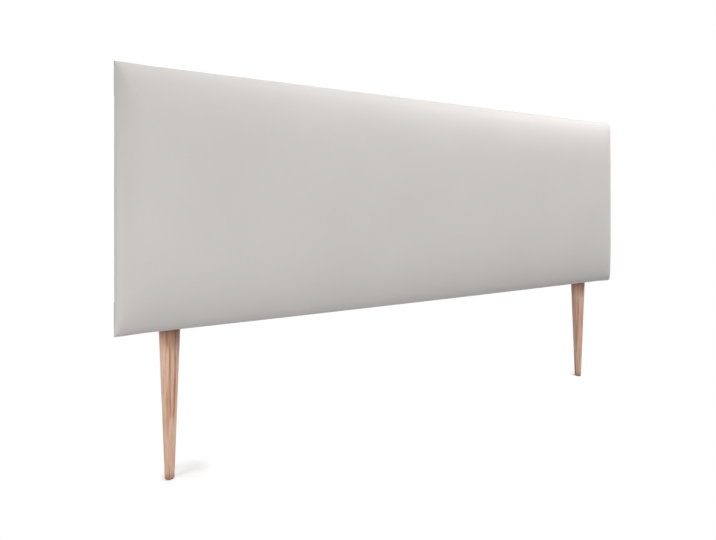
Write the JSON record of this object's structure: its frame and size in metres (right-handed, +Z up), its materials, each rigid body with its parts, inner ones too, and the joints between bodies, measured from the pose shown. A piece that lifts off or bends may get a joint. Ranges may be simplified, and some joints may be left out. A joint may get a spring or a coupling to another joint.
{
  "type": "upholstered headboard",
  "caption": "Low wide upholstered headboard: plain padded rectangular panel in pale leatherette on round tapered wooden legs.",
  "frame": {"origin": "on the floor, midway along the panel and midway through its thickness", "axes": "+X along the panel, +Y from the padded front to the back that stands against the wall, +Z up"},
  "size_m": [1.4, 0.085, 0.8],
  "materials": {
    "leatherette": "soft matt, very fine grain",
    "wadding": "white bonded polyester fibre",
    "foam": "open-cell polyurethane foam",
    "board": "bare medium-density fibreboard",
    "pine": "planed softwood",
    "back_cloth": "black spunbonded cloth",
    "beech": "satin clear coat over pinkish brown wood",
    "zinc_plated_steel": "bright zinc plate",
    "staple_wire": "galvanised wire"
  },
  "bodies": {
    "root": {"cover": "leatherette", "wadding": "wadding", "foam_pad": "foam", "front_board": "board", "top_rail": "pine", "bottom_rail": "pine", "left_stile": "pine", "left_inner_stile": "pine", "centre_stile": "pine", "right_inner_stile": "pine", "right_stile": "pine", "left_leg_block": "pine", "right_leg_block": "pine", "back_cloth": "back_cloth", "left_leg": "beech", "right_leg": "beech", "left_hanger_bolt": "zinc_plated_steel", "right_hanger_bolt": "zinc_plated_steel", "left_insert_nut": "zinc_plated_steel", "right_insert_nut": "zinc_plated_steel", "frame_screws": "zinc_plated_steel", "board_staples": "staple_wire", "cover_staples": "staple_wire", "back_cloth_staples": "staple_wire"}
  },
  "joints": []
}
